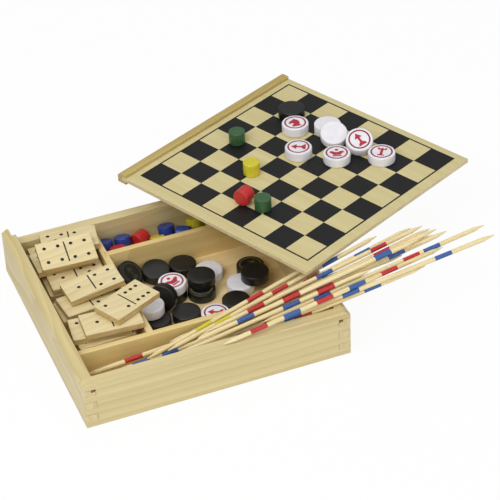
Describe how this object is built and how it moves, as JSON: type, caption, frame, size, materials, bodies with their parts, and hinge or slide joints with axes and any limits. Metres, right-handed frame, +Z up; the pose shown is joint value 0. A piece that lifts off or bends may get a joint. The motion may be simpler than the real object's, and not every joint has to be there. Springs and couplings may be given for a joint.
{
  "type": "games compendium box",
  "caption": "Divided wooden games compendium with a chequered slide-out lid resting across it, dominoes, draughts, pegs and pick-up sticks heaped inside.",
  "frame": {"origin": "centre of the case's underside", "axes": "+X to the right along the case's front wall, +Y from the front wall to the back wall, +Z up"},
  "size_m": [0.3165, 0.2634, 0.0624],
  "materials": {
    "case_wood": "varnished pine",
    "divider_wood": "varnished pine",
    "plywood": "bare plywood",
    "board_face": "printed and varnished plywood",
    "batten_wood": "varnished",
    "domino_wood": "lightly varnished",
    "stick_wood": "bare with painted bands",
    "black_paint": "gloss painted",
    "white_paint": "gloss painted",
    "red_paint": "gloss painted",
    "blue_paint": "gloss painted",
    "green_paint": "gloss painted",
    "yellow_paint": "gloss painted"
  },
  "bodies": {
    "case": {"base_panel": "plywood", "front_wall": "case_wood", "back_wall": "case_wood", "left_wall": "case_wood", "right_wall": "case_wood", "front_divider": "divider_wood", "left_divider": "divider_wood", "rear_divider": "divider_wood", "dominoes_under_lid": "domino_wood", "stack_white_discs": "white_paint", "stack_black_discs": "black_paint", "black_discs_shaded": "black_paint", "white_discs_shaded": "white_paint", "white_disc_corner": "white_paint", "shaded_blue_pegs": "blue_paint", "shaded_yellow_pegs": "yellow_paint", "shaded_green_pegs": "green_paint", "shaded_red_peg": "red_paint", "stick_under_lid": "stick_wood", "sticks_on_floor": "stick_wood"},
    "lid": {"lid_board": "board_face", "lid_batten": "batten_wood"},
    "lid_discs": {"lid_black_disc": "black_paint", "lid_knight": "white_paint", "lid_pawn": "white_paint", "lid_crown": "white_paint", "lid_rook": "white_paint", "lid_blank_disc": "white_paint", "lid_blank_leaning": "white_paint", "lid_bishop": "white_paint"},
    "lid_pegs": {"lid_green_pegs": "green_paint", "lid_yellow_peg": "yellow_paint", "lid_red_peg": "red_paint"},
    "dominoes": {"dominoes_underneath": "domino_wood", "domino_rear_low": "domino_wood", "domino_rear": "domino_wood", "domino_leaning_back": "domino_wood", "domino_centre": "domino_wood", "domino_top": "domino_wood", "domino_below_top": "domino_wood", "domino_front_low": "domino_wood", "domino_front": "domino_wood", "domino_over_divider": "domino_wood"},
    "tray_discs": {"black_discs": "black_paint", "black_disc_pair": "black_paint", "white_disc_red_mark": "white_paint", "white_disc_arrow": "white_paint", "black_disc_leaning": "black_paint", "black_disc_on_edge": "black_paint"},
    "tray_pegs": {"blue_pegs": "blue_paint", "red_pegs": "red_paint"},
    "sticks": {"sticks_first_layer": "stick_wood", "sticks_second_layer": "stick_wood", "sticks_third_layer": "stick_wood", "stick_top": "stick_wood", "stick_on_front_wall": "stick_wood"}
  },
  "joints": [
    {"name": "lid_lift", "type": "slide", "parent": "case", "child": "lid", "axis": [0, 0, 1], "range_m": [0, 0.08]},
    {"name": "lid_discs_lift", "type": "slide", "parent": "lid", "child": "lid_discs", "axis": [0, 0, 1], "range_m": [0, 0.08]},
    {"name": "lid_pegs_lift", "type": "slide", "parent": "lid", "child": "lid_pegs", "axis": [0, 0, 1], "range_m": [0, 0.08]},
    {"name": "dominoes_lift", "type": "slide", "parent": "case", "child": "dominoes", "axis": [0, 0, 1], "range_m": [0, 0.08]},
    {"name": "tray_discs_lift", "type": "slide", "parent": "case", "child": "tray_discs", "axis": [0, 0, 1], "range_m": [0, 0.08]},
    {"name": "tray_pegs_lift", "type": "slide", "parent": "case", "child": "tray_pegs", "axis": [0, 0, 1], "range_m": [0, 0.08]},
    {"name": "sticks_draw", "type": "slide", "parent": "case", "child": "sticks", "axis": [0.988, 0, 0.1547], "range_m": [0, 0.15]}
  ]
}
